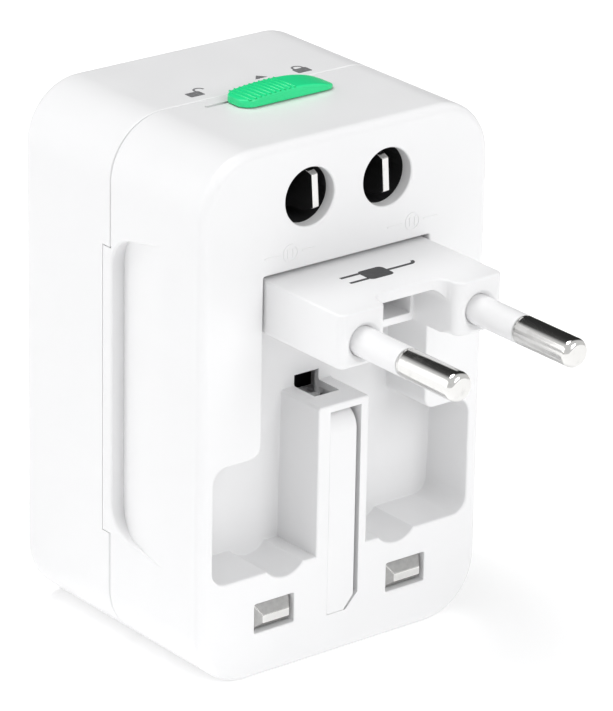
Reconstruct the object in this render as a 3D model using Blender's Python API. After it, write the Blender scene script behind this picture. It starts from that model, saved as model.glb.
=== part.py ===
"""Universal travel adapter: a plug module in front, a socket module behind it, and a slider that locks them.

Frame: origin at the middle of the plug module's bottom face, X to the right as seen from the plug side,
Y rearwards, Z up.
Run in Blender 4.5, in metres.
"""

import math

import bmesh
import bpy
from mathutils import Matrix, Vector

MM = 0.001

# Body, both modules together
WIDTH = 47.2 * MM
DEPTH = 39.0 * MM
HEIGHT = 73.8 * MM
CORNER_RADIUS = 8.3 * MM
RIM_ROUND = 1.3 * MM
WALL = 1.8 * MM
FIT = 0.3 * MM

# The two modules, from front to back; the plug module is centred on the origin
PLUG_MODULE_DEPTH = 19.6 * MM
FRONT = -PLUG_MODULE_DEPTH / 2
SEAM = PLUG_MODULE_DEPTH / 2
SOCKET_RIM = SEAM + FIT
BACK = FRONT + DEPTH

# Standard pin spacings and sizes
UK_HALF_SPACING = 11.1 * MM
UK_EARTH_RISE = 22.2 * MM
UK_PIN_WIDTH = 6.35 * MM
UK_PIN_HEIGHT = 3.9 * MM
UK_SLOT_HALF_WIDTH = 3.3 * MM
UK_SLOT_HALF_HEIGHT = 2.1 * MM
US_HALF_SPACING = 6.35 * MM
US_BLADE_THICK = 1.5 * MM
US_BLADE_HEIGHT = 6.2 * MM
EU_HALF_SPACING = 9.5 * MM
EU_PIN_RADIUS = 2.0 * MM
EU_PIN_LENGTH = 19.0 * MM
EU_SLEEVE_LENGTH = 8.4 * MM

# Heights of the pin groups
UK_Z = 8.6 * MM
EARTH_Z = UK_Z + UK_EARTH_RISE
US_Z = 65.8 * MM

# European plug block; its pivot is as far behind the front as it is below the top, so it folds flush
EU_PIVOT_BACK = 3.8 * MM
EU_PIVOT_Z = 52.1 * MM
EU_REACH = 15.4 * MM
EU_HALF_WIDTH = 13.4 * MM
EU_NOTCH_HALF = 5.8 * MM
EU_NOTCH_DEEP = 9.0 * MM
EU_PLATE_THICK = 1.3 * MM
EU_PLATE_SETBACK = 3.4 * MM
EU_WINDOW_HALF = 5.4 * MM
EU_WINDOW_RAIL = 1.0 * MM
EU_WINDOW_TOP = 54.0 * MM
EU_WINDOW_DEEP = 8.5 * MM
EU_PIN_DROP = 0.5 * MM

# Recess that the block folds into, its finger pockets and the post between them
RECESS_TOP = 56.4 * MM
RECESS_HALF = 13.7 * MM
RECESS_DEEP = 7.8 * MM
RECESS_SLOPE = 0.015
POCKET_TOP = 31.5 * MM
POCKET_FLOOR = 14.9 * MM
POCKET_HALF = 21.4 * MM
POCKET_DEEP = 8.4 * MM
CHANNEL_X = 9.4 * MM
CHANNEL_RADIUS = 3.9 * MM
CHANNEL_FLOOR = 13.5 * MM
POST_HALF = 4.2 * MM
POST_TOP = 36.0 * MM

# Folding earth pin
EARTH_HALF_WIDTH = 2.0 * MM
EARTH_RADIUS = 3.8 * MM
EARTH_TIP_Z = 6.4 * MM

# Blade holes and rotors
BLADE_HOLE = 3.95 * MM
BLADE_BORE = 4.15 * MM
BLADE_TIP = 0.8 * MM
BLADE_PLAY = {"left": (1.48, 0.26), "right": (0.36, 0.04)}
BLADE_TURN = math.radians(-3.8)
ROTOR_RADIUS = 4.0 * MM
RECEIVER_RADIUS = 4.0 * MM
RECEIVER_BORE = 3.67 * MM
RECEIVER_SPLIT_HALF = 2.7 * MM

# Flat UK pins: how far their ends sit back, and how far they travel
UK_SETBACK = 0.05 * MM
UK_CARRIAGE_FRONT = 21.0 * MM
UK_FLAT_HALF = (2.2 * MM, 0.52 * MM)
UK_FLAT_OFFSET = (0.35 * MM, -0.4 * MM)
UK_PIN_LENGTH = 23.85 * MM

# Grip scoop in each side, and the tongue that closes it behind
SCOOP_LOW = 16.7 * MM
SCOOP_HIGH = 57.9 * MM
SCOOP_CORNER = 4.5 * MM
SCOOP_DEEP = 2.0 * MM
SCOOP_BACK = 19.3 * MM
SCOOP_START = 6.5 * MM
TONGUE = 1.6 * MM
TONGUE_LOW = 16.4 * MM
TONGUE_HIGH = 56.6 * MM

# Lock slider, and the slot that its neck runs in, under the slider's rear edge
SLIDER_X = 0.75 * MM
SLIDER_Y = FRONT + 15.55 * MM
SLIDER_LENGTH = 15.4 * MM
SLIDER_WIDTH = 5.0 * MM
SLIDER_HIGH = 1.6 * MM
SLIDER_CORNER = 1.8 * MM
NECK_HALF = 4.5 * MM
NECK_THICK = 0.5 * MM
LATCH_HALF = 6.5 * MM
LOCK_TRAVEL = 4.5 * MM
SLOT_LEFT = -10.2 * MM
SLOT_RIGHT = 8.2 * MM
SLOT_Y = FRONT + 17.2 * MM
SLOT_WIDTH = 1.0 * MM

# Screws, the same in both modules
SCREW_SPOTS = ((-17.5, 64.5), (17.5, 64.5), (-18.3, 8.6), (18.3, 8.6))
SCREW_HEAD = 2.0 * MM
SCREW_SHANK = 0.9 * MM
BOSS_RADIUS = 2.3 * MM

# Inner plates
COVER_FRONT = FRONT + 15.9 * MM
COVER_BACK = FRONT + 17.9 * MM
PLATE_FRONT = SEAM + 2.3 * MM
PLATE_BACK = SEAM + 4.1 * MM

# Socket, in the rear face
SOCKET_Z = 26.0 * MM
SOCKET_EARTH_Z = SOCKET_Z + UK_EARTH_RISE
SOCKET_WALL = BACK - 2 * MM
CONTACT_FRONT = SEAM + 9.2 * MM
CONTACT_BACK = SEAM + 9.8 * MM
JAW_END = SEAM + 15.3 * MM

ROUND_STEPS = 24


def clear_scene():
    for obj in list(bpy.data.objects):
        bpy.data.objects.remove(obj)


def new_collection(name):
    collection = bpy.data.collections.new(name)
    bpy.context.scene.collection.children.link(collection)
    return collection


clear_scene()
PARTS = new_collection("universal_travel_adapter")
CUTTERS = new_collection("cutters")


def material(name, color, roughness, metallic=0.0):
    made = bpy.data.materials.new(name)
    made.use_nodes = True
    shader = made.node_tree.nodes["Principled BSDF"]
    shader.inputs["Base Color"].default_value = (*color, 1.0)
    shader.inputs["Roughness"].default_value = roughness
    shader.inputs["Metallic"].default_value = metallic
    return made


WHITE = material("white_abs", (0.86, 0.86, 0.87), 0.35)
GREEN = material("green_abs", (0.02, 0.78, 0.26), 0.35)
BLACK = material("black_nylon", (0.02, 0.02, 0.02), 0.5)
NICKEL = material("nickel_plate", (0.8, 0.8, 0.78), 0.12, 1.0)
STEEL = material("steel", (0.6, 0.6, 0.62), 0.3, 1.0)
BRASS = material("brass", (0.78, 0.6, 0.26), 0.3, 1.0)


def mesh_object(name, bm, collection=CUTTERS, finish=None, origin=(0, 0, 0)):
    """An object from a bmesh, its origin moved to where its joint's axis is."""
    bmesh.ops.recalc_face_normals(bm, faces=bm.faces)
    bmesh.ops.translate(bm, verts=bm.verts, vec=-Vector(origin))
    mesh = bpy.data.meshes.new(name)
    bm.to_mesh(mesh)
    bm.free()
    mesh.shade_smooth()
    mesh.set_sharp_from_angle(angle=math.radians(35))
    obj = bpy.data.objects.new(name, mesh)
    obj.location = origin
    collection.objects.link(obj)
    if finish:
        mesh.materials.append(finish)
    else:
        obj.hide_render = True
        obj.display_type = "WIRE"
    return obj


def part(name, bm, finish, origin=(0, 0, 0)):
    return mesh_object(name, bm, PARTS, finish, origin)


def box(low, high):
    """A box between two corners."""
    low, high = Vector(low), Vector(high)
    bm = bmesh.new()
    bmesh.ops.create_cube(bm, size=1.0)
    bmesh.ops.scale(bm, vec=high - low, verts=bm.verts)
    bmesh.ops.translate(bm, vec=(low + high) / 2, verts=bm.verts)
    return bm


def rod(radius, start, end, steps=ROUND_STEPS, end_radius=None):
    """A cylinder or cone between two points."""
    start, end = Vector(start), Vector(end)
    bm = bmesh.new()
    bmesh.ops.create_cone(
        bm,
        cap_ends=True,
        segments=steps,
        radius1=radius,
        radius2=radius if end_radius is None else end_radius,
        depth=(end - start).length,
    )
    turn = Vector((0, 0, 1)).rotation_difference(end - start).to_matrix().to_4x4()
    bmesh.ops.transform(bm, matrix=Matrix.Translation((start + end) / 2) @ turn, verts=bm.verts)
    return bm


def prism(outline, axis, start, end):
    """A flat outline pushed along an axis; its points are in the other two axes, in X, Y, Z order."""
    bm = bmesh.new()
    others = [i for i in range(3) if i != axis]
    verts = []
    for a, b in outline:
        co = [0.0, 0.0, 0.0]
        co[axis] = start
        co[others[0]] = a
        co[others[1]] = b
        verts.append(bm.verts.new(co))
    face = bm.faces.new(verts)
    pushed = bmesh.ops.extrude_face_region(bm, geom=[face])
    far = [v for v in pushed["geom"] if isinstance(v, bmesh.types.BMVert)]
    way = [0.0, 0.0, 0.0]
    way[axis] = end - start
    bmesh.ops.translate(bm, verts=far, vec=way)
    return bm


def arc(centre, radius, start, end, steps):
    """Points along an arc, its angles in degrees."""
    for step in range(steps + 1):
        angle = math.radians(start + (end - start) * step / steps)
        yield centre[0] + radius * math.cos(angle), centre[1] + radius * math.sin(angle)


def rounded_outline(low, high, radius, steps=6):
    """A rectangle with arcs for corners, between two corners of a plane."""
    (x0, z0), (x1, z1) = low, high
    right, left, top, bottom = x1 - radius, x0 + radius, z1 - radius, z0 + radius
    points = []
    for corner, centre in enumerate(((right, top), (left, top), (left, bottom), (right, bottom))):
        points += arc(centre, radius, 90 * corner, 90 * corner + 90, steps)
    return points


def body_slab(inset, front, back, front_round=0.0, back_round=0.0):
    """The body's outline pushed from front to back, with its rims rounded."""
    outline = rounded_outline(
        (-WIDTH / 2 + inset, inset), (WIDTH / 2 - inset, HEIGHT - inset), CORNER_RADIUS - inset, 8
    )
    bm = prism(outline, 1, front, back)
    for where, size in ((front, front_round), (back, back_round)):
        if size:
            rim = [e for e in bm.edges if all(abs(v.co.y - where) < 1e-6 for v in e.verts)]
            bmesh.ops.bevel(bm, geom=rim, offset=size, segments=3, profile=0.5, affect="EDGES")
    return bm


def boolean(piece, bm, how):
    tool = mesh_object(f"{piece.name}_{how.lower()}_{len(piece.modifiers)}", bm)
    change = piece.modifiers.new(tool.name, "BOOLEAN")
    change.operation = how
    change.solver = "EXACT"
    change.object = tool
    return tool


def cut(piece, bm):
    return boolean(piece, bm, "DIFFERENCE")


def fuse(piece, bm):
    return boolean(piece, bm, "UNION")


def sides(low, high):
    """The same box on the left and on the right."""
    yield box(low, high)
    yield box((-high[0], low[1], low[2]), (-low[0], high[1], high[2]))


def recess_depth(z):
    """How deep the plug recess is at a height: its back wall leans rearwards towards the bottom."""
    return RECESS_DEEP + (RECESS_TOP - z) * RECESS_SLOPE


def recess_profile(low, high):
    """The recess between two heights, in the YZ plane."""
    return (
        (FRONT - MM, low),
        (FRONT + recess_depth(low), low),
        (FRONT + recess_depth(high), high),
        (FRONT - MM, high),
    )


# ---------------------------------------------------------------- plug module


def plug_module_hollow():
    """What is scooped out of the front casing from behind, leaving the recess walls and the screw bosses."""
    hollow = mesh_object("plug_module_hollow", body_slab(WALL, FRONT + WALL, SEAM + 5 * MM))
    cut(hollow, box((-15.3 * MM, FRONT, 29.9 * MM), (15.3 * MM, FRONT + 12 * MM, 58 * MM)))
    cut(hollow, box((-WIDTH, FRONT, 12 * MM), (WIDTH, FRONT + 12.3 * MM, 33.1 * MM)))
    cut(hollow, box((-4.6 * MM, FRONT, 5.3 * MM), (4.6 * MM, FRONT + 9.4 * MM, 14 * MM)))
    for pad in sides((19.9 * MM, FRONT, 14 * MM), (WIDTH, SEAM + 6 * MM, 59 * MM)):
        cut(hollow, pad)
    for x, z in SCREW_SPOTS:
        cut(hollow, rod(BOSS_RADIUS, (x * MM, FRONT, z * MM), (x * MM, COVER_FRONT - FIT, z * MM), 16))
    return hollow


def scoop_tool(side):
    """A wedge with a rounded outline: no depth near the front, full depth at the lip behind it."""
    wall = side * WIDTH / 2
    outline = rounded_outline((FRONT + 2 * MM, SCOOP_LOW), (FRONT + SCOOP_BACK, SCOOP_HIGH), SCOOP_CORNER)
    tool = mesh_object(f"scoop_{side}", prism(outline, 0, wall - side * 5 * MM, wall + side * MM))
    rise = SCOOP_DEEP / (SCOOP_BACK - SCOOP_START)
    near = wall + side * rise * SCOOP_START
    far = wall - side * rise * (DEPTH - SCOOP_START)
    inner = wall - side * 9 * MM
    wedge = ((near, FRONT), (far, FRONT + DEPTH), (inner, FRONT + DEPTH), (inner, FRONT))
    cut(tool, prism(wedge, 2, 0, HEIGHT))
    return tool


def subtract_object(piece, tool):
    change = piece.modifiers.new(tool.name, "BOOLEAN")
    change.operation = "DIFFERENCE"
    change.solver = "EXACT"
    change.object = tool


def plug_module_shell():
    shell = part("plug_module_shell", body_slab(0, FRONT, SEAM, front_round=RIM_ROUND), WHITE)
    tongue_low = (WIDTH / 2 - WALL, SEAM - 3 * MM, TONGUE_LOW)
    for tongue in sides(tongue_low, (WIDTH / 2, SEAM + TONGUE, TONGUE_HIGH)):
        fuse(shell, tongue)
    subtract_object(shell, plug_module_hollow())
    for side in (-1, 1):
        subtract_object(shell, scoop_tool(side))
    # Recess for the folded block, down to the post's top, and then on both sides of the post
    cut(shell, prism(recess_profile(POST_TOP, RECESS_TOP), 0, -RECESS_HALF, RECESS_HALF))
    for side in (-1, 1):
        beside = recess_profile(POCKET_FLOOR, POST_TOP + MM)
        cut(shell, prism(beside, 0, side * POST_HALF, side * RECESS_HALF))
        near, far = sorted((side * (RECESS_HALF - 4 * MM), side * POCKET_HALF))
        outline = rounded_outline((near, POCKET_FLOOR), (far, POCKET_TOP), 2.2 * MM)
        cut(shell, prism(outline, 1, FRONT - MM, FRONT + POCKET_DEEP))
        # Shallow round channel in the pocket's floor, for the folded pin's end
        channel_x, channel_z = side * CHANNEL_X, CHANNEL_FLOOR + CHANNEL_RADIUS
        channel = (channel_x, FRONT - MM, channel_z), (channel_x, FRONT + POCKET_DEEP, channel_z)
        cut(shell, rod(CHANNEL_RADIUS, *channel, 48))
        # Round hole for a blade, slot for a flat pin, blind hole for a hinge stub, and the way to the contact
        blade_x = side * US_HALF_SPACING
        cut(shell, rod(BLADE_HOLE, (blade_x, FRONT - MM, US_Z), (blade_x, FRONT + 3 * MM, US_Z), 32))
        pin_x = side * UK_HALF_SPACING
        slot_low = (pin_x - UK_SLOT_HALF_WIDTH, FRONT - MM, UK_Z - UK_SLOT_HALF_HEIGHT)
        slot_high = (pin_x + UK_SLOT_HALF_WIDTH, FRONT + 3 * MM, UK_Z + UK_SLOT_HALF_HEIGHT)
        cut(shell, box(slot_low, slot_high))
        pivot = (FRONT + EU_PIVOT_BACK, EU_PIVOT_Z)
        cut(shell, rod(1.3 * MM, (side * 13 * MM, *pivot), (side * 15 * MM, *pivot), 16))
        way_x, way_z = side * EU_HALF_SPACING, EU_PIVOT_Z - EU_PIN_DROP
        cut(shell, rod(1.6 * MM, (way_x, FRONT + 7 * MM, way_z), (way_x, FRONT + 13 * MM, way_z), 16))
    # Slot for the folded earth pin, its hinge pin's hole, and the opening at the post's top
    cut(shell, box((-2.3 * MM, FRONT - MM, 5.9 * MM), (2.9 * MM, FRONT + 8 * MM, 35 * MM)))
    earth_y = FRONT + EARTH_RADIUS
    cut(shell, rod(1.3 * MM, (-3.8 * MM, earth_y, EARTH_Z), (5 * MM, earth_y, EARTH_Z), 16))
    cut(shell, box((-2.05 * MM, FRONT + 3.65 * MM, 34 * MM), (2.05 * MM, FRONT + 13 * MM, 37.55 * MM)))
    # Slot for the slider, and the screws' pilot holes
    cut(
        shell,
        box(
            (SLOT_LEFT, SLOT_Y - SLOT_WIDTH / 2, HEIGHT - 5 * MM),
            (SLOT_RIGHT, SLOT_Y + SLOT_WIDTH / 2, HEIGHT + MM),
        ),
    )
    for x, z in SCREW_SPOTS:
        cut(shell, rod(1.2 * MM, (x * MM, FRONT + 6 * MM, z * MM), (x * MM, COVER_FRONT + MM, z * MM), 12))


def plug_module_cover():
    cover = part("plug_module_cover", body_slab(WALL + FIT, COVER_FRONT, COVER_BACK), WHITE)
    for pad in sides((19.6 * MM, COVER_FRONT - MM, 13.7 * MM), (WIDTH, COVER_BACK + MM, 59.3 * MM)):
        cut(cover, pad)
    cut(cover, box((-15.7 * MM, COVER_FRONT - MM, 0), (15.7 * MM, COVER_BACK + MM, 12 * MM)))
    cut(cover, box((-11.6 * MM, COVER_FRONT - MM, 70.3 * MM), (11.6 * MM, COVER_BACK + MM, HEIGHT)))
    for side in (-1, 1):
        x = side * US_HALF_SPACING
        cut(cover, rod(BLADE_BORE, (x, COVER_FRONT - MM, US_Z), (x, COVER_BACK + MM, US_Z), 32))
    for x, z in SCREW_SPOTS:
        cut(cover, rod(1.2 * MM, (x * MM, COVER_FRONT - MM, z * MM), (x * MM, COVER_BACK + MM, z * MM), 12))


def screws(prefix, head_back, way):
    """Four pan-head screws, each driven towards the front (-1) or towards the rear (1)."""
    for number, (x, z) in enumerate(SCREW_SPOTS, 1):
        seat = head_back + way * 1.4 * MM
        at = Vector((x * MM, 0, z * MM))
        head = rod(SCREW_HEAD, at + Vector((0, head_back, 0)), at + Vector((0, seat, 0)), 16)
        screw = part(f"{prefix}_screw_{number}", head, STEEL)
        tip = seat + way * 8 * MM
        fuse(screw, rod(SCREW_SHANK, at + Vector((0, seat - way * MM, 0)), at + Vector((0, tip, 0)), 12))
        for low, high in (((-1.4, -0.25), (1.4, 0.25)), ((-0.25, -1.4), (0.25, 1.4))):
            ends = sorted((head_back - way * MM, head_back + way * 0.8 * MM))
            cut(
                screw,
                box(
                    (at.x + low[0] * MM, ends[0], at.z + low[1] * MM),
                    (at.x + high[0] * MM, ends[1], at.z + high[1] * MM),
                ),
            )


def blade_channel():
    """Black block that guides the blades, with a slot under each bore for the receiver's tab."""
    front, back = FRONT + 2.1 * MM, FRONT + 15.6 * MM
    block = part("blade_channel", box((-11.6 * MM, front, 60.6 * MM), (11.6 * MM, back, 70.3 * MM)), BLACK)
    for side in (-1, 1):
        x = side * US_HALF_SPACING
        cut(block, rod(BLADE_BORE, (x, front - MM, US_Z), (x, back + MM, US_Z), 32))
        cut(block, box((x - 1.8 * MM, FRONT + 12.2 * MM, 60 * MM), (x + 1.8 * MM, back + MM, 63 * MM)))


def blade_receivers():
    """Split brass sleeves round the blades, which still turn in them, each with a tab to its bus strip."""
    for name, side in (("left", -1), ("right", 1)):
        x = side * US_HALF_SPACING
        front, back = FRONT + 10.5 * MM, FRONT + 14.5 * MM
        bm = rod(RECEIVER_RADIUS, (x, front, US_Z), (x, back, US_Z), 32)
        sleeve = part(f"blade_receiver_{name}", bm, BRASS)
        fuse(
            sleeve,
            box((x - 1.4 * MM, FRONT + 12.6 * MM, 60.3 * MM), (x + 1.4 * MM, FRONT + 13.1 * MM, 62.4 * MM)),
        )
        cut(sleeve, rod(RECEIVER_BORE, (x, front - MM, US_Z), (x, back + MM, US_Z), 32))
        split_low = (x - RECEIVER_SPLIT_HALF, front - MM, US_Z + 2 * MM)
        cut(sleeve, box(split_low, (x + RECEIVER_SPLIT_HALF, back + MM, US_Z + 5 * MM)))


def bus_strips():
    """Stamped strips: a finger forward to the European pin, and a foot over the flat pin."""
    for name, side in (("left", -1), ("right", 1)):
        front, back = FRONT + 12.6 * MM, FRONT + 13.1 * MM
        middle = side * EU_HALF_SPACING
        low = (min(side * 5 * MM, side * 11 * MM), front, 11.9 * MM)
        high = (max(side * 5 * MM, side * 11 * MM), back, 60 * MM)
        strip = part(f"bus_strip_{name}", box(low, high), BRASS)
        finger_z = EU_PIVOT_Z - EU_PIN_DROP
        fuse(
            strip,
            box(
                (middle - 0.9 * MM, FRONT + 7.9 * MM, finger_z - 0.5 * MM),
                (middle + 0.9 * MM, front + 0.25 * MM, finger_z + 0.5 * MM),
            ),
        )
        foot = sorted((side * 10 * MM, side * 13.6 * MM))
        fuse(strip, box((foot[0], front, 11.9 * MM), (foot[1], back, 15 * MM)))


def contact_carrier():
    low = (-14 * MM, FRONT + 13.4 * MM, 16 * MM)
    high = (14 * MM, FRONT + 15.4 * MM, 58 * MM)
    part("contact_carrier", box(low, high), BLACK)


def lock():
    """Green slider, arched along its length, its neck through the slot, and the hook plate under the top."""
    half, wide = SLIDER_LENGTH / 2, SLIDER_WIDTH / 2
    base = HEIGHT + 0.2 * MM
    arch = (half**2 + SLIDER_HIGH**2) / (2 * SLIDER_HIGH)
    spread = math.degrees(math.asin(half / arch))
    outline = list(arc((SLIDER_X, base + SLIDER_HIGH - arch), arch, 90 - spread, 90 + spread, 12))
    slider = part("lock_slider", prism(outline, 1, SLIDER_Y - wide, SLIDER_Y + wide), GREEN)
    corner = (SLIDER_X - half, SLIDER_Y - wide)
    plan = rounded_outline(corner, (SLIDER_X + half, SLIDER_Y + wide), SLIDER_CORNER)
    boolean(slider, prism(plan, 2, base - MM, base + 2 * SLIDER_HIGH), "INTERSECT")
    neck_low = (SLIDER_X - NECK_HALF, SLOT_Y - NECK_THICK / 2, 70.8 * MM)
    fuse(slider, box(neck_low, (SLIDER_X + NECK_HALF, SLOT_Y + NECK_THICK / 2, base + 0.5 * MM)))
    low = (SLIDER_X - LATCH_HALF, FRONT + 13.2 * MM, 70.7 * MM)
    latch = part("lock_latch", box(low, (SLIDER_X + LATCH_HALF, FRONT + 18.6 * MM, 71.7 * MM)), BLACK)
    hook_front, hook_back = PLATE_BACK + 0.4 * MM, PLATE_BACK + 1.4 * MM
    fuse(latch, box((SLIDER_X - 2 * MM, FRONT + 17 * MM, low[2]), (SLIDER_X + 2 * MM, hook_back, 71.7 * MM)))
    fuse(latch, box((SLIDER_X, hook_front, low[2]), (SLIDER_X + 4 * MM, hook_back, 71.7 * MM)))
    hole_half, hole_wide = NECK_HALF + FIT, NECK_THICK / 2 + FIT
    hole_low = (SLIDER_X - hole_half, SLOT_Y - hole_wide, 70 * MM)
    cut(latch, box(hole_low, (SLIDER_X + hole_half, SLOT_Y + hole_wide, 72 * MM)))


# -------------------------------------------------------- European plug


def eu_plug():
    pivot = (0, FRONT + EU_PIVOT_BACK, EU_PIVOT_Z)
    top = EU_PIVOT_Z + EU_PIVOT_BACK
    bottom = EU_PIVOT_Z - EU_PIVOT_BACK
    root_front = FRONT - EU_REACH + EU_NOTCH_DEEP
    # Root: flat on top and below, with a half-round rear end about the pivot
    outline = [(root_front, bottom)]
    outline += arc((pivot[1], pivot[2]), EU_PIVOT_BACK, -90, 90, 12)
    outline += [(root_front, top)]
    block = part("eu_plug_block", prism(outline, 0, -EU_HALF_WIDTH, EU_HALF_WIDTH), WHITE, pivot)
    face = FRONT - EU_REACH
    for boss in sides(
        (EU_NOTCH_HALF, face, bottom), (EU_HALF_WIDTH, root_front + 0.5 * MM, top)
    ):
        fuse(block, boss)
    fuse(
        block,
        box(
            (-EU_NOTCH_HALF - MM, face + EU_PLATE_SETBACK, top - EU_PLATE_THICK),
            (EU_NOTCH_HALF + MM, root_front + 0.5 * MM, top),
        ),
    )
    # Window in the notch's back wall, over a rail at the bottom
    window_low = (-EU_WINDOW_HALF, root_front - MM, bottom + EU_WINDOW_RAIL)
    cut(block, box(window_low, (EU_WINDOW_HALF, root_front + EU_WINDOW_DEEP, EU_WINDOW_TOP)))
    pin_z = EU_PIVOT_Z - EU_PIN_DROP
    for name, side in (("left", -1), ("right", 1)):
        x = side * EU_HALF_SPACING
        cut(block, rod(1.55 * MM, (x, face - MM, pin_z), (x, FRONT + 8 * MM, pin_z)))
        cut(block, rod(EU_PIN_RADIUS + 0.15 * MM, (x, face - MM, pin_z), (x, face + 2 * MM, pin_z)))
        cut(block, rod(1.2 * MM, (side * 11.7 * MM, *pivot[1:]), (side * 14 * MM, *pivot[1:]), 16))
        eu_pin(name, x, face, pin_z, pivot)
        stub = (side * 11.9 * MM, *pivot[1:])
        part(f"eu_hinge_stub_{name}", rod(MM, stub, (side * 14.7 * MM, *pivot[1:]), 16), STEEL)


def eu_pin(name, x, face, z, pivot):
    """Turned pin with a domed end and a thin shank through the block, and the sleeve over its root half."""
    tip = face - EU_PIN_LENGTH
    dome = 1.2 * MM
    sleeve_end = face - EU_SLEEVE_LENGTH
    core = 1.3 * MM
    bm = rod(EU_PIN_RADIUS, (x, tip + dome, z), (x, sleeve_end - 0.15 * MM, z))
    pin = part(f"eu_pin_{name}", bm, NICKEL, pivot)
    shoulder = tip + 0.45 * MM
    nose = rod(EU_PIN_RADIUS, (x, tip + dome + 0.1 * MM, z), (x, shoulder, z), end_radius=1.75 * MM)
    fuse(pin, nose)
    fuse(pin, rod(1.79 * MM, (x, shoulder + 0.1 * MM, z), (x, tip, z), end_radius=1.2 * MM))
    fuse(pin, rod(core, (x, sleeve_end - MM, z), (x, FRONT + 7.4 * MM, z)))
    bm = rod(EU_PIN_RADIUS, (x, sleeve_end, z), (x, face + 1.8 * MM, z))
    sleeve = part(f"eu_sleeve_{name}", bm, WHITE, pivot)
    cut(sleeve, rod(core + 0.15 * MM, (x, sleeve_end - MM, z), (x, face + 3 * MM, z)))


# ------------------------------------------------------------- UK pins


def draw_in(bm, tip, taper, middle, half):
    """Draws a bar's front end in to a small flat, over the length of its taper."""
    everything = bm.verts[:] + bm.edges[:] + bm.faces[:]
    bmesh.ops.bisect_plane(bm, geom=everything, plane_co=(0, tip + taper, 0), plane_no=(0, 1, 0))
    ends = [v for v in bm.verts if abs(v.co.y - tip) < 1e-6]
    centre = sum((v.co for v in ends), Vector()) / len(ends)
    for v in ends:
        v.co.x = middle[0] + math.copysign(half[0], v.co.x - centre.x)
        v.co.z = middle[1] + math.copysign(half[1], v.co.z - centre.z)


def uk_pins():
    front = FRONT + UK_CARRIAGE_FRONT
    back = front + 3.2 * MM
    low, high = 2.2 * MM, 11.5 * MM
    carriage = part("uk_pin_carriage", box((-15.1 * MM, front, low), (15.1 * MM, back, 4.9 * MM)), BLACK)
    for holder in sides((7.1 * MM, front, low + 0.01 * MM), (15.1 * MM, back, high)):
        fuse(carriage, holder)
    half_x, half_z = UK_PIN_WIDTH / 2, UK_PIN_HEIGHT / 2
    for name, side in (("left", -1), ("right", 1)):
        x = side * UK_HALF_SPACING
        cut(
            carriage,
            box(
                (x - half_x - 0.2 * MM, front - MM, UK_Z - half_z - 0.2 * MM),
                (x + half_x + 0.2 * MM, back + MM, UK_Z + half_z + 0.2 * MM),
            ),
        )
        tip = FRONT + UK_SETBACK
        bm = box((x - half_x, tip, UK_Z - half_z), (x + half_x, tip + UK_PIN_LENGTH, UK_Z + half_z))
        draw_in(bm, tip, MM, (x + UK_FLAT_OFFSET[0], UK_Z + UK_FLAT_OFFSET[1]), UK_FLAT_HALF)
        part(f"uk_pin_{name}", bm, NICKEL)


def uk_earth_pin():
    pivot = (0, FRONT + EARTH_RADIUS, EARTH_Z)
    outline = list(arc(pivot[1:], EARTH_RADIUS, 180, 0, 12))
    chamfer = 1.2 * MM
    thick = 2 * EARTH_RADIUS
    outline += [
        (FRONT + thick, EARTH_TIP_Z + chamfer),
        (FRONT + thick - chamfer, EARTH_TIP_Z),
        (FRONT + chamfer, EARTH_TIP_Z),
        (FRONT, EARTH_TIP_Z + chamfer),
    ]
    pin = part("uk_earth_pin", prism(outline, 0, -EARTH_HALF_WIDTH, EARTH_HALF_WIDTH), WHITE, pivot)
    cut(pin, rod(1.3 * MM, (-3 * MM, *pivot[1:]), (3 * MM, *pivot[1:]), 16))
    part("earth_hinge_pin", rod(MM, (-3.5 * MM, *pivot[1:]), (4 * MM, *pivot[1:]), 16), STEEL)


# ------------------------------------------------------- socket module


def socket_opening(side):
    """One side of the universal socket: a flat slot, a round hole and an upright slot run together."""
    low = (min(side * 5.4 * MM, side * 14.6 * MM), SOCKET_Z - 2.3 * MM)
    high = (max(side * 5.4 * MM, side * 14.6 * MM), SOCKET_Z + 2.3 * MM)
    start, end = SOCKET_WALL - 2 * MM, BACK + MM
    yield prism(rounded_outline(low, high, 0.6 * MM, 3), 1, start, end)
    yield rod(2.9 * MM, (side * EU_HALF_SPACING, start, SOCKET_Z), (side * EU_HALF_SPACING, end, SOCKET_Z))
    x = side * US_HALF_SPACING
    yield box((x - 1.1 * MM, start, SOCKET_Z - 3.8 * MM), (x + 1.1 * MM, end, SOCKET_Z + 3.8 * MM))


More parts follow.
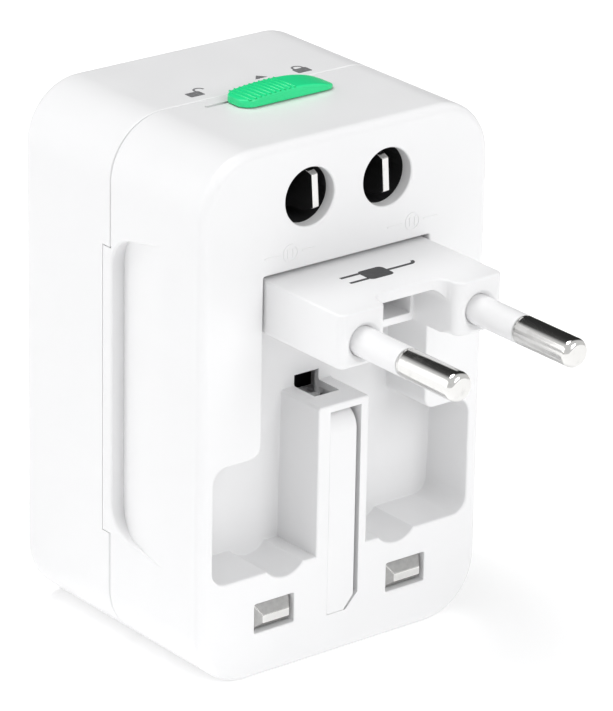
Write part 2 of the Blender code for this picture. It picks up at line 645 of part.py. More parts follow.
def socket_module_shell():
    shell = part("socket_module_shell", body_slab(0, SOCKET_RIM, BACK, back_round=RIM_ROUND), WHITE)
    hollow = mesh_object("socket_module_hollow", body_slab(WALL, SOCKET_RIM - 5 * MM, SOCKET_WALL))
    for x, z in SCREW_SPOTS:
        cut(hollow, rod(BOSS_RADIUS, (x * MM, PLATE_BACK + FIT, z * MM), (x * MM, BACK, z * MM), 16))
    subtract_object(shell, hollow)
    for notch in sides(
        (WIDTH / 2 - 4 * MM, SOCKET_RIM - MM, TONGUE_LOW - FIT),
        (WIDTH / 2 + MM, SEAM + TONGUE + FIT, TONGUE_HIGH + FIT),
    ):
        cut(shell, notch)
    face = rounded_outline((-18.5 * MM, 15 * MM), (18.5 * MM, 58 * MM), 6 * MM)
    cut(shell, prism(face, 1, BACK - 0.7 * MM, BACK + MM))
    for side in (-1, 1):
        for opening in socket_opening(side):
            cut(shell, opening)
    low = (-2.3 * MM, SOCKET_EARTH_Z - 4.2 * MM)
    earth = rounded_outline(low, (2.3 * MM, SOCKET_EARTH_Z + 4.2 * MM), 0.6 * MM, 3)
    cut(shell, prism(earth, 1, SOCKET_WALL - 2 * MM, BACK + MM))
    for x, z in SCREW_SPOTS:
        start, end = PLATE_BACK - MM, PLATE_BACK + 9 * MM
        cut(shell, rod(1.2 * MM, (x * MM, start, z * MM), (x * MM, end, z * MM), 12))


def socket_module_plate():
    plate = part("socket_module_plate", body_slab(WALL + FIT, PLATE_FRONT, PLATE_BACK), WHITE)
    cut(plate, box((-15.7 * MM, PLATE_FRONT - MM, 0), (15.7 * MM, PLATE_BACK + MM, 12 * MM)))
    hook_left = SLIDER_X - 2 * MM - LOCK_TRAVEL - FIT
    hook_right = SLIDER_X + 4 * MM + FIT
    cut(plate, box((hook_left, PLATE_FRONT - MM, 70.45 * MM), (hook_right, PLATE_BACK + MM, HEIGHT)))
    for side in (-1, 1):
        x = side * US_HALF_SPACING
        cut(plate, rod(ROTOR_RADIUS + 0.25 * MM, (x, PLATE_FRONT - MM, US_Z), (x, PLATE_BACK + MM, US_Z), 32))
    for x, z in SCREW_SPOTS:
        cut(plate, rod(1.2 * MM, (x * MM, PLATE_FRONT - MM, z * MM), (x * MM, PLATE_BACK + MM, z * MM), 12))


def us_blades():
    """Flat blades, loose in their rotors, so that their ends stand a little off the holes' centres."""
    for name, side in (("left", -1), ("right", 1)):
        x = side * US_HALF_SPACING
        seat = (x, 0, US_Z)
        held = Vector((x, PLATE_BACK, US_Z))
        reach = PLATE_BACK - FRONT - BLADE_TIP
        lean = Matrix.Rotation(BLADE_PLAY[name][0] * MM / reach, 4, "Z")
        tilt = Matrix.Rotation(-BLADE_PLAY[name][1] * MM / reach, 4, "X")
        turn = Matrix.Rotation(BLADE_TURN, 4, "Y")
        set_in = Matrix.Translation(held) @ lean @ tilt @ turn @ Matrix.Translation(-held)
        front = PLATE_FRONT - 0.5 * MM
        flange = PLATE_BACK + FIT
        bm = rod(ROTOR_RADIUS, (x, front, US_Z), (x, flange + MM, US_Z), 32)
        rotor = part(f"blade_rotor_{name}", bm, BLACK, seat)
        fuse(rotor, rod(4.5 * MM, (x, flange, US_Z), (x, flange + 1.4 * MM, US_Z), 32))
        half_x, half_z = US_BLADE_THICK / 2, US_BLADE_HEIGHT / 2
        room = 0.25 * MM
        slot_low = (x - half_x - room, front - MM, US_Z - half_z - room)
        slot = box(slot_low, (x + half_x + room, flange + 3 * MM, US_Z + half_z + room))
        bmesh.ops.transform(slot, matrix=set_in, verts=slot.verts)
        cut(rotor, slot)
        tip = FRONT + BLADE_TIP
        bm = box((x - half_x, tip, US_Z - half_z), (x + half_x, CONTACT_FRONT - FIT, US_Z + half_z))
        draw_in(bm, tip, 1.8 * MM, (x, US_Z), (0.5 * MM, 2.3 * MM))
        bmesh.ops.transform(bm, matrix=set_in, verts=bm.verts)
        part(f"us_blade_{name}", bm, NICKEL, seat)


def rotor_retainer():
    front, back = PLATE_BACK + 2 * MM, PLATE_BACK + 3.6 * MM
    plate = part("rotor_retainer", box((-12.5 * MM, front, 60.8 * MM), (12.5 * MM, back, 70.2 * MM)), BLACK)
    for side in (-1, 1):
        x = side * US_HALF_SPACING
        cut(plate, rod(3.5 * MM, (x, front - MM, US_Z), (x, back + MM, US_Z)))


def socket_contacts():
    """Strips from the blades' tails down to sprung jaws behind the socket openings."""
    front, back = CONTACT_FRONT, CONTACT_BACK
    for name, side in (("left", -1), ("right", 1)):
        near, far = sorted((side * 3.6 * MM, side * 9 * MM))
        contact = part(f"socket_contact_{name}", box((near, front, 22.4 * MM), (far, back, 68 * MM)), BRASS)
        near, far = sorted((side * 5 * MM, side * 14.8 * MM))
        fuse(contact, box((near, front, 22.3 * MM), (far, back, 29.7 * MM)))
        near, far = near + 0.1 * MM, far - 0.1 * MM
        for low in (22.6 * MM, 28.8 * MM):
            fuse(contact, box((near, front + 0.2 * MM, low), (far, JAW_END, low + 0.6 * MM)))


plug_module_shell()
plug_module_cover()
screws("plug_module", COVER_BACK + 1.4 * MM, -1)
blade_channel()
blade_receivers()
bus_strips()
contact_carrier()
lock()
eu_plug()
uk_pins()
uk_earth_pin()
socket_module_shell()
socket_module_plate()
screws("socket_module", PLATE_FRONT - 1.4 * MM, 1)
us_blades()
rotor_retainer()
socket_contacts()
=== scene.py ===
"""Universal travel adapter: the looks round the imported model, in the order in which it is put together."""

import math

import bmesh
import bpy
from mathutils import Matrix, Vector


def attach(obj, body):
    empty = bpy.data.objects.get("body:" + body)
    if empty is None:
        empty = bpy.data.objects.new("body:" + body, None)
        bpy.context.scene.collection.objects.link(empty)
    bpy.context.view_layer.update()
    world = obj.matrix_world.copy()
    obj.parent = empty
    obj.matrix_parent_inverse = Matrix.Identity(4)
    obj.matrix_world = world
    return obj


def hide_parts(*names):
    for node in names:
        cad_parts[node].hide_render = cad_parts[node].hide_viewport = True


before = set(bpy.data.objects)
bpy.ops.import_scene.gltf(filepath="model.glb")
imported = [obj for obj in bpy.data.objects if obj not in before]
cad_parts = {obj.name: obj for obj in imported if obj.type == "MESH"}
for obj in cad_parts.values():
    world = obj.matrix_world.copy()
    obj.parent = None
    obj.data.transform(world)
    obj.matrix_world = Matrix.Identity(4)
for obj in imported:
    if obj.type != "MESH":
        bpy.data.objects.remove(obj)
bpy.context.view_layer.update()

# ---------------------------------------------------------------------------------------------
# Front casing. A moulded white ABS shell, 47 mm wide and 74 mm high, with thick rounded corners.
# Its face is sunk for the folded plug, with a post between two finger pockets, and both flanks
# are scooped for the grip. The mould leaves a fine satin grain on every outer wall.

MM = 0.001
WIDTH, HEIGHT = 47.2, 73.8
FRONT, SEAM, BACK = -9.8, 9.8, 29.2
WALL = 1.8
CORNER = 8.3
RIM = 1.3
LIP = 0.28
BLADE_X, BLADE_Z, BLADE_HOLE = 6.35, 65.8, 3.95
PIN_X, PIN_Z = 9.5, 51.6
FLAT_PIN_X = 11.1
EU_PIVOT_Z, EARTH_Z, HINGE_DEPTH, HINGE_BORE = 52.1, 30.8, 3.8, 1.3
PLUG_HALF, PLUG_TOP = 13.7, 56.4
POCKET_EDGE, POCKET_FLOOR, POCKET_TOP = 21.4, 14.9, 31.5
POST_HALF, POST_TOP = 4.2, 36.0
RECESS_DEPTH, RECESS_LEAN = 7.8, 0.015
BOSS, PILOT = 2.3, 1.2
SCREW_SPOTS = ((-17.5, 64.5), (17.5, 64.5), (-18.3, 8.6), (18.3, 8.6))


def arc(centre, radius, start, end, steps):
    """Points along an arc, its angles in degrees."""
    points = []
    for step in range(steps + 1):
        angle = math.radians(start + (end - start) * step / steps)
        points.append((centre[0] + radius * math.cos(angle), centre[1] + radius * math.sin(angle)))
    return points


def rounded(low, high, radius, steps=8):
    """A rectangle with arcs for corners."""
    points = []
    middles = (
        (high[0], high[1], -1, -1),
        (low[0], high[1], 1, -1),
        (low[0], low[1], 1, 1),
        (high[0], low[1], -1, 1),
    )
    for corner, (a, b, way_a, way_b) in enumerate(middles):
        centre = (a + way_a * radius, b + way_b * radius)
        points += arc(centre, radius, 90 * corner, 90 * corner + 90, steps)
    return points


def filleted(corners, steps=6):
    """An outline through corners given as (a, b, radius), each turned with an arc of its radius."""
    points = []
    for index, (a, b, radius) in enumerate(corners):
        here = Vector((a, b))
        if not radius:
            points.append((a, b))
            continue
        to_last = (Vector(corners[index - 1][:2]) - here).normalized()
        to_next = (Vector(corners[(index + 1) % len(corners)][:2]) - here).normalized()
        half = to_last.angle(to_next) / 2
        centre = here + (to_last + to_next).normalized() * (radius / math.sin(half))
        first = here + to_last * (radius / math.tan(half)) - centre
        last = here + to_next * (radius / math.tan(half)) - centre
        sweep = first.angle_signed(last)
        for step in range(steps + 1):
            turned = Matrix.Rotation(-sweep * step / steps, 2) @ first
            points.append(tuple(centre + turned))
    return points


def grown(outline, by):
    """An outline, running anticlockwise, moved outwards by a small distance."""
    moved = []
    count = len(outline)
    for index in range(count):
        here = Vector(outline[index])
        before = (here - Vector(outline[index - 1])).normalized()
        after = (Vector(outline[(index + 1) % count]) - here).normalized()
        out_before, out_after = Vector((before.y, -before.x)), Vector((after.y, -after.x))
        middle = (out_before + out_after).normalized()
        moved.append(here + middle * (by / max(middle.dot(out_after), 0.5)))
    return moved


def loft(outline, axis, stations):
    """A closed skin through copies of an outline, at stations along an axis given as (place, growth)."""
    bm = bmesh.new()
    others = [i for i in range(3) if i != axis]
    rings = []
    for place, growth in stations:
        ring = []
        for a, b in grown(outline, growth) if growth else outline:
            co = [0.0, 0.0, 0.0]
            co[axis] = place(b) if callable(place) else place
            co[others[0]], co[others[1]] = a, b
            ring.append(bm.verts.new(co))
        rings.append(ring)
    for near, far in zip(rings, rings[1:]):
        for index in range(len(outline)):
            bm.faces.new((near[index - 1], near[index], far[index], far[index - 1]))
    bm.faces.new(rings[0])
    bm.faces.new(rings[-1])
    bmesh.ops.recalc_face_normals(bm, faces=bm.faces)
    return bm


def turn(edge, way, radius, growth, steps=4):
    """Stations round a quarter circle, from an end face at an edge on to the wall behind it."""
    stations = []
    for step in range(steps + 1):
        angle = math.pi / 2 * step / steps
        place = edge + way * radius * (1 - math.cos(angle))
        stations.append((place, growth * radius * (1 - math.sin(angle))))
    return stations


def block(low, high):
    """A plain box, used to cut or to fill."""
    outline = [(low[0], low[1]), (high[0], low[1]), (high[0], high[1]), (low[0], high[1])]
    return loft(outline, 2, ((low[2], 0), (high[2], 0)))


def disc(x, z, radius, steps=48):
    return arc((x, z), radius, 0, 360 - 360 / steps, steps - 1)


def bore(x, z, radius, start, end, steps=48):
    return loft(disc(x, z, radius, steps), 1, ((start, 0), (end, 0)))


def cross_bore(y, z, radius, start, end, steps=24):
    return loft(disc(y, z, radius, steps), 0, ((start, 0), (end, 0)))


def opening(outline, end, edge=FRONT, way=1, lip=LIP):
    """A cutter for an opening in a face, its mouth flared so that the plastic round it is eased."""
    return loft(outline, 1, [(edge - way, lip)] + turn(edge, way, lip, 1) + [(end, 0)])


def mesh_piece(name, bm):
    """An object at the origin from a mesh drawn in millimetres."""
    bmesh.ops.scale(bm, vec=(MM, MM, MM), verts=bm.verts)
    mesh = bpy.data.meshes.new(name)
    bm.to_mesh(mesh)
    bm.free()
    piece = bpy.data.objects.new(name, mesh)
    bpy.context.scene.collection.objects.link(piece)
    return piece


def carve(piece, *steps):
    """Works a piece with other solids, one after another, each given as its way of working and its mesh."""
    tools = []
    for how, bm in steps:
        tool = bm if isinstance(bm, bpy.types.Object) else mesh_piece("tool", bm)
        change = piece.modifiers.new(how, "BOOLEAN")
        change.operation = how
        change.solver = "EXACT"
        change.object = tool
        tools.append(tool)
    settle(piece)
    for tool in tools:
        bpy.data.objects.remove(tool)
    return piece


def settle(piece):
    """Turns a piece's modifiers into its mesh."""
    bpy.context.view_layer.update()
    settled = bpy.data.meshes.new_from_object(piece.evaluated_get(bpy.context.evaluated_depsgraph_get()))
    piece.modifiers.clear()
    piece.data = settled


def smooth(piece, sharp=32, rounding=0.0, segments=3):
    """Eases the edges if asked, and keeps the flat faces flat under smooth shading."""
    bm = bmesh.new()
    bm.from_mesh(piece.data)
    bmesh.ops.remove_doubles(bm, verts=bm.verts, dist=2e-6)
    bmesh.ops.dissolve_degenerate(bm, edges=bm.edges, dist=1e-6)
    bm.to_mesh(piece.data)
    bm.free()
    piece.data.shade_smooth()
    piece.data.set_sharp_from_angle(angle=math.radians(sharp))
    if rounding:
        ease = piece.modifiers.new("eased_edges", "BEVEL")
        ease.width = rounding * MM
        ease.segments = segments
        ease.limit_method = "ANGLE"
        ease.angle_limit = math.radians(sharp)
        ease.harden_normals = True
        settle(piece)
    else:
        flat = piece.modifiers.new("flat_faces", "WEIGHTED_NORMAL")
        flat.keep_sharp = True
        flat.weight = 80
        settle(piece)


def body_slab(inset, stations):
    low, high = (-WIDTH / 2 + inset, inset), (WIDTH / 2 - inset, HEIGHT - inset)
    return loft(rounded(low, high, CORNER - inset, 24), 1, stations)


def mirrored(low, high):
    """The same box on the right and on the left."""
    return block(low, high), block((-high[0], low[1], low[2]), (-low[0], high[1], high[2]))


def recess_back(z):
    """The recess's back wall leans rearwards towards the bottom."""
    return FRONT + RECESS_DEPTH + (PLUG_TOP - z) * RECESS_LEAN


def grip_scoop(side):
    """A hollow for the finger: its floor curves in from nothing near the front to a lip behind."""
    wall = side * WIDTH / 2
    lip_y, start_y, deepest = FRONT + 19.3, FRONT + 6.5, 2.0
    eased = 0.35
    corners = [(FRONT + 1, 15.0, 0), (lip_y, 16.7, 4.5), (lip_y, 57.9, 4.5), (FRONT + 1, 61.4, 0)]
    stations = [(wall + side, eased)] + turn(wall, -side, eased, 1) + [(wall - side * 5, 0)]
    tool = mesh_piece("scoop", loft(filleted(corners, 12), 0, stations))
    floor_line = []
    for step in range(33):
        y = FRONT - 2 + 23 * step / 32
        along = (y - start_y) / (lip_y - start_y)
        floor_line.append((wall - side * deepest * along * abs(along), y))
    floor_line += [(wall - side * 12, FRONT + 21), (wall - side * 12, FRONT - 2)]
    return carve(tool, ("DIFFERENCE", loft(floor_line, 2, ((0, 0), (HEIGHT, 0)))))


def front_hollow():
    """What the mould's core leaves empty behind the face, round the recess walls and the screw bosses."""
    hollow = mesh_piece("hollow", body_slab(WALL, ((FRONT + WALL, 0), (SEAM + 5, 0))))
    steps = [
        ("DIFFERENCE", block((-15.3, FRONT, 29.9), (15.3, FRONT + 12, 58))),
        ("DIFFERENCE", block((-WIDTH, FRONT, 12), (WIDTH, FRONT + 12.3, 33.1))),
        ("DIFFERENCE", block((-4.6, FRONT, 5.3), (4.6, FRONT + 9.4, 14))),
    ]
    steps += [("DIFFERENCE", pad) for pad in mirrored((19.9, FRONT, 14), (WIDTH, SEAM + 6, 59))]
    steps += [("DIFFERENCE", bore(x, z, BOSS, FRONT, FRONT + 15.6, 24)) for x, z in SCREW_SPOTS]
    return carve(hollow, *steps)


def recess_outline():
    """The sunk part of the face, once round: both pockets with their pin channels, and the post between."""
    right = [(POST_HALF, POCKET_FLOOR, 0)]
    right += [(a, b, 0) for a, b in arc((9.4, 17.4), 3.9, 220.0, 320.0, 16)]
    right += [(POCKET_EDGE, POCKET_FLOOR, 2.2), (POCKET_EDGE, POCKET_TOP, 2.2)]
    right += [(PLUG_HALF, POCKET_TOP, 1.6), (PLUG_HALF, PLUG_TOP, 0.3)]
    left = [(-a, b, radius) for a, b, radius in reversed(right)]
    return filleted(right + left + [(-POST_HALF, POST_TOP, 0.4), (POST_HALF, POST_TOP, 0.4)])


casing_stations = turn(FRONT, 1, RIM, -1, 6) + turn(SEAM, -1, 0.22, -1)[::-1]
front_casing = mesh_piece("front_casing", body_slab(0, casing_stations))
tongues = mirrored((WIDTH / 2 - WALL, SEAM - 3, 16.4), (WIDTH / 2, SEAM + 1.6, 56.6))
steps = [("UNION", tongue) for tongue in tongues]
steps += [("DIFFERENCE", front_hollow()), ("DIFFERENCE", grip_scoop(-1)), ("DIFFERENCE", grip_scoop(1))]
recess_stations = [(FRONT - 1, LIP)] + turn(FRONT, 1, LIP, 1)
recess_stations.append((lambda z: recess_back(z) - 0.3, 0))
recess_stations += [(lambda z: recess_back(z) - 0.09, -0.09), (recess_back, -0.3)]
steps.append(("DIFFERENCE", loft(recess_outline(), 1, recess_stations)))
for side in (-1, 1):
    steps.append(("DIFFERENCE", opening(disc(side * BLADE_X, BLADE_Z, BLADE_HOLE, 64), FRONT + 3)))
    slot_x = side * FLAT_PIN_X
    pin_slot = rounded((slot_x - 3.3, 6.5), (slot_x + 3.3, 10.7), 0.25, 3)
    steps.append(("DIFFERENCE", opening(pin_slot, FRONT + 3, lip=0.2)))
    stub_hole = cross_bore(FRONT + HINGE_DEPTH, EU_PIVOT_Z, HINGE_BORE, side * 13, side * 15)
    steps.append(("DIFFERENCE", stub_hole))
    steps.append(("DIFFERENCE", bore(side * PIN_X, PIN_Z, 1.6, FRONT + 7, FRONT + 13, 24)))
earth_slot = [(-2.3, 5.9), (0.9, 5.9), (2.9, 8.0), (2.9, 35), (-2.3, 35)]
steps.append(("DIFFERENCE", opening(earth_slot, FRONT + 8, lip=0.04)))
steps.append(("DIFFERENCE", block((2.3, FRONT + 2, 9.5), (2.85, FRONT + 11.5, 34))))
steps.append(("DIFFERENCE", cross_bore(FRONT + HINGE_DEPTH, EARTH_Z, HINGE_BORE, -3.8, 5)))
steps.append(("DIFFERENCE", block((-2.05, FRONT + 3.65, 34), (2.05, FRONT + 13, 37.55))))
steps.append(("DIFFERENCE", block((-3.9, FRONT + 8.9, 33.6), (3.9, FRONT + 12.9, 39.5))))
steps.append(("DIFFERENCE", block((-10.2, 7.08, HEIGHT - 5), (8.2, 7.72, HEIGHT + 1))))
steps += [("DIFFERENCE", bore(x, z, PILOT, FRONT + 6, FRONT + 16.9, 16)) for x, z in SCREW_SPOTS]
carve(front_casing, *steps)
smooth(front_casing)


class Value:
    """A number that varies over a surface, on which sums are written as they are spoken."""

    def __init__(self, finish, socket):
        self.finish = finish
        self.socket = socket

    def sum_of(self, operation, first, second):
        return self.finish.add("ShaderNodeMath", {"operation": operation}, {0: first, 1: second})

    def __add__(self, other):
        return self.sum_of("ADD", self, other)

    def __sub__(self, other):
        return self.sum_of("SUBTRACT", self, other)

    def __rsub__(self, other):
        return self.sum_of("SUBTRACT", other, self)

    def __mul__(self, other):
        return self.sum_of("MULTIPLY", self, other)

    __radd__ = __add__
    __rmul__ = __mul__


class Finish:
    """A surface's nodes, ending in one shader."""

    def __init__(self, name):
        self.made = bpy.data.materials.new(name)
        self.made.use_nodes = True
        self.nodes = self.made.node_tree.nodes
        self.links = self.made.node_tree.links
        self.shader = self.nodes["Principled BSDF"]
        self.place = self.add("ShaderNodeTexCoord", output="Object")

    def join(self, value, socket):
        if isinstance(value, Value):
            self.links.new(value.socket, socket)
        else:
            socket.default_value = value

    def add(self, kind, settings=None, inputs=None, output=0):
        """A node of a kind: its settings come first, then what goes into its sockets."""
        node = self.nodes.new(kind)
        for key, value in (settings or {}).items():
            if key == "stops":
                ends = (node.color_ramp.elements[0], node.color_ramp.elements[-1])
                for stop, (at, shade) in zip(ends, value):
                    stop.position = at
                    stop.color = (shade, shade, shade, 1)
            else:
                setattr(node, key, value)
        for key, value in (inputs or {}).items():
            self.join(value, node.inputs[key])
        return Value(self, node.outputs[output])

    def noise(self, scale, detail=3.0, place=None):
        inputs = {"Vector": place or self.place, "Scale": scale, "Detail": detail}
        return self.add("ShaderNodeTexNoise", {"normalize": True}, inputs)

    def steps(self, value, low, high):
        """Nought below low, one above high, and even between."""
        return self.add("ShaderNodeValToRGB", {"stops": ((low, 0.0), (high, 1.0))}, {"Fac": value})

    def mix(self, amount, first, second):
        """A colour between two."""
        return self.add("ShaderNodeMix", {"data_type": "RGBA"}, {0: amount, 6: first, 7: second}, 2)

    def bump(self, height, depth, strength):
        inputs = {"Height": height, "Distance": depth * MM, "Strength": strength}
        return self.add("ShaderNodeBump", None, inputs)

    def set(self, **sockets):
        for key, value in sockets.items():
            self.join(value, self.shader.inputs[key.replace("_", " ")])
        return self.made


def moulded(name, colour, shade, roughness=0.34, grain=0.02):
    """Moulded plastic: faint cloudiness, a fine even grain, and smoother patches where hands rub it."""
    finish = Finish(name)
    cloud = finish.noise(90, 2)
    grit = finish.noise(5200, 2)
    rubbed = finish.steps(finish.noise(160, 4), 0.42, 0.7)
    tone = finish.mix(cloud, (*colour, 1), (*shade, 1))
    rough = roughness + rubbed * 0.06 + grit * 0.05
    return finish.set(Base_Color=tone, Roughness=rough, Normal=finish.bump(grit, grain, 0.35), IOR=1.5)


white_abs = moulded("white_casing_abs", (0.79, 0.79, 0.794), (0.77, 0.771, 0.776))
front_casing.data.materials.append(white_abs)
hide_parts("plug_module_shell")
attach(front_casing, "plug_module")

# ---------------------------------------------------------------------------------------------
# Rear casing. The matching white ABS shell, pulled off the front one when its lock slides away.
# Its rim is eased at the seam, and the socket face behind is sunk a little within a border.

SOCKET_RIM = 9.92
SOCKET_Z = 26.0
SOCKET_EARTH_Z = 48.2
SOCKET_WALL = 27.2


def socket_openings():
    """Each side's flat slot, round hole and upright slot run together, and the earth slot over them."""
    start, end = SOCKET_WALL - 2, BACK + 1
    for side in (-1, 1):
        middle = side * 10
        slot = rounded((middle - 4.6, SOCKET_Z - 2.3), (middle + 4.6, SOCKET_Z + 2.3), 0.6)
        yield loft(slot, 1, ((start, 0), (end, 0)))
        yield bore(side * PIN_X, SOCKET_Z, 2.9, start, end)
        upright = side * BLADE_X
        yield block((upright - 1.1, start, SOCKET_Z - 3.8), (upright + 1.1, end, SOCKET_Z + 3.8))
    earth = rounded((-2.3, SOCKET_EARTH_Z - 4.2), (2.3, SOCKET_EARTH_Z + 4.2), 0.6)
    yield loft(earth, 1, ((start, 0), (end, 0)))


casing_stations = turn(SOCKET_RIM, 1, 0.22, -1) + turn(BACK, -1, RIM, -1, 6)[::-1]
rear_casing = mesh_piece("rear_casing", body_slab(0, casing_stations))
rear_hollow = mesh_piece("hollow", body_slab(WALL, ((SOCKET_RIM - 5, 0), (SOCKET_WALL, 0))))
carve(rear_hollow, *[("DIFFERENCE", bore(x, z, BOSS, 14.2, BACK, 24)) for x, z in SCREW_SPOTS])
steps = [("DIFFERENCE", rear_hollow)]
for notch in mirrored((WIDTH / 2 - 4, SOCKET_RIM - 1, 16.28), (WIDTH / 2 + 1, SEAM + 1.72, 56.72)):
    steps.append(("DIFFERENCE", notch))
steps.append(("DIFFERENCE", opening(rounded((-18.5, 15), (18.5, 58), 6), BACK - 0.7, BACK, -1, 0.25)))
steps += [("DIFFERENCE", hole) for hole in socket_openings()]
steps += [("DIFFERENCE", bore(x, z, PILOT, 12.9, 22.9, 16)) for x, z in SCREW_SPOTS]
carve(rear_casing, *steps)
smooth(rear_casing)
rear_casing.data.materials.append(white_abs)
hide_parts("socket_module_shell")
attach(rear_casing, "socket_module")

# ---------------------------------------------------------------------------------------------
# Cover and plate. Flat inner lids of the same white ABS, left matt from the mould's inner side,
# each held to the bosses of its own module by four screws.

lid_abs = moulded("white_lid_abs", (0.74, 0.74, 0.745), (0.70, 0.70, 0.71), 0.5, 0.03)
for name in ("plug_module_cover", "socket_module_plate"):
    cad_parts[name].data.materials.clear()
    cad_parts[name].data.materials.append(lid_abs)

# ---------------------------------------------------------------------------------------------
# Black carriers. Glass-filled nylon blocks that guide the blades, back the contacts, hold the
# flat pins and keep the rotors in; the fibre leaves a dull, slightly mottled surface.


def nylon(name):
    finish = Finish(name)
    mottle = finish.noise(900, 5)
    flecks = finish.steps(finish.noise(3800, 2), 0.55, 0.75)
    tone = finish.mix(mottle, (0.010, 0.010, 0.011, 1), (0.024, 0.024, 0.026, 1))
    rough = 0.42 + mottle * 0.2 - flecks * 0.1
    return finish.set(Base_Color=tone, Roughness=rough, Normal=finish.bump(mottle, 0.03, 0.5))


black_nylon = nylon("black_glass_nylon")
carriers = ("blade_channel", "contact_carrier", "uk_pin_carriage", "rotor_retainer", "lock_latch")
for name in carriers + ("blade_rotor_left", "blade_rotor_right"):
    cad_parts[name].data.materials.clear()
    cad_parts[name].data.materials.append(black_nylon)

# ---------------------------------------------------------------------------------------------
# Strips, receivers and contacts. Stamped from thin rolled brass sheet and bent to shape, with the
# dull brown tarnish that brass takes inside a housing.


def rolled_brass(name):
    finish = Finish(name)
    stretched = finish.add("ShaderNodeMapping", None, {"Vector": finish.place, "Scale": (6.0, 6.0, 0.15)})
    rolling = finish.noise(900, 3, stretched)
    tarnish = finish.steps(finish.noise(220, 5), 0.4, 0.75)
    tone = finish.mix(tarnish, (0.72, 0.52, 0.2, 1), (0.42, 0.27, 0.1, 1))
    rough = 0.24 + rolling * 0.12 + tarnish * 0.15
    return finish.set(Base_Color=tone, Roughness=rough, Metallic=1.0, Normal=finish.bump(rolling, 0.01, 0.4))


brass = rolled_brass("rolled_brass")
for kind in ("blade_receiver", "bus_strip", "socket_contact"):
    for side_name in ("left", "right"):
        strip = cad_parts[f"{kind}_{side_name}"]
        strip.data.materials.clear()
        strip.data.materials.append(brass)

# ---------------------------------------------------------------------------------------------
# Lock slider. Green ABS, arched along its length, with fine ribs across its left half for the
# thumb; its neck drops through the slot in the top to the hook plate inside.

SLIDER_X, SLIDER_Y = 0.75, 5.75
SLIDER_HALF, SLIDER_WIDE = 7.7, 2.5
SLIDER_BASE = 74.0
SLIDER_TOP = 75.45


def slider_height(x):
    """The arch: flat along most of its top, blunt at the left end and low at the right."""
    along = (x - SLIDER_X) / SLIDER_HALF
    rise = (1 - abs(along) ** 2.6) * (0.93 + 0.07 * math.cos(along * 2))
    blunt = 0.62 if along < 0 else 0.12
    end = blunt * abs(along) ** 2.6
    return SLIDER_BASE + (SLIDER_TOP - SLIDER_BASE) * (rise + end)


def slider_half_width(x):
    """The plan: straight sides, with ends turned on small radii."""
    corner = 1.9
    past = abs(x - SLIDER_X) - (SLIDER_HALF - corner)
    if past <= 0:
        return SLIDER_WIDE
    return SLIDER_WIDE - corner + math.sqrt(max(corner**2 - past**2, 0.0))


bm = bmesh.new()
rows = []
samples = 72
for index in range(samples + 1):
    x = SLIDER_X - SLIDER_HALF * math.cos(math.pi * index / samples)
    half, top = max(slider_half_width(x), 0.35), slider_height(x)
    ease = min(0.4, (top - SLIDER_BASE) * 0.45)
    section = [(-half, SLIDER_BASE), (-half, SLIDER_BASE + (top - ease - SLIDER_BASE) / 2)]
    section += [(-half + ease + a, top - ease + b) for a, b in arc((0, 0), ease, 180, 90, 5)]
    section += [(half - ease + a, top - ease + b) for a, b in arc((0, 0), ease, 90, 0, 5)]
    section += [(half, SLIDER_BASE + (top - ease - SLIDER_BASE) / 2), (half, SLIDER_BASE)]
    rows.append([bm.verts.new((x, SLIDER_Y + y, z)) for y, z in section])
for near, far in zip(rows, rows[1:]):
    for index in range(len(near)):
        bm.faces.new((near[index - 1], near[index], far[index], far[index - 1]))
bm.faces.new(rows[0])
bm.faces.new(rows[-1])
bmesh.ops.recalc_face_normals(bm, faces=bm.faces)
slider = mesh_piece("lock_thumb_slider", bm)
neck = block((SLIDER_X - 4.5, 7.15, 70.8), (SLIDER_X + 4.5, 7.65, SLIDER_BASE + 0.5))
carve(slider, ("UNION", neck))
smooth(slider, 50)


def green_abs(name):
    """Green ABS, faintly clouded, with a fine even grain."""
    finish = Finish(name)
    cloud = finish.noise(260, 3)
    grit = finish.noise(5200, 2)
    tone = finish.mix(cloud, (0.012, 0.66, 0.23, 1), (0.02, 0.74, 0.29, 1))
    return finish.set(Base_Color=tone, Roughness=0.3 + grit * 0.1, Normal=finish.bump(grit, 0.02, 0.3))


slider_green = green_abs("green_slider_abs")
slider.data.materials.append(slider_green)
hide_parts("lock_slider")
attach(slider, "lock")


def rib_bar():
    """One rib, drawn at the origin: a low half-round bar along Y, its ends drawn in."""
    profile = arc((0, 0), 0.17, 0, 180, 6)
    return loft(profile, 1, ((-2.46, -0.1), (-2.38, 0), (2.2, 0), (2.3, -0.1)))


rib = mesh_piece("rib_pattern", rib_bar())
ribs_tree = bpy.data.node_groups.new("thumb_ribs", "GeometryNodeTree")
sockets = {}
for label, kind, value in (
    ("Ribs", "NodeSocketInt", 10),
    ("First", "NodeSocketFloat", -5.9 * MM),
    ("Pitch", "NodeSocketFloat", 0.8 * MM),
    ("Arch middle", "NodeSocketFloat", SLIDER_X * MM),
    ("Arch radius", "NodeSocketFloat", 108 * MM),
    ("Arch top", "NodeSocketFloat", 75.4 * MM),
    ("Across", "NodeSocketFloat", SLIDER_Y * MM),
):
    sockets[label] = ribs_tree.interface.new_socket(name=label, in_out="INPUT", socket_type=kind)
    sockets[label].default_value = value
for label, kind in (("Bar", "NodeSocketObject"), ("Finish", "NodeSocketMaterial")):
    sockets[label] = ribs_tree.interface.new_socket(name=label, in_out="INPUT", socket_type=kind)
ribs_tree.interface.new_socket(name="Geometry", in_out="OUTPUT", socket_type="NodeSocketGeometry")


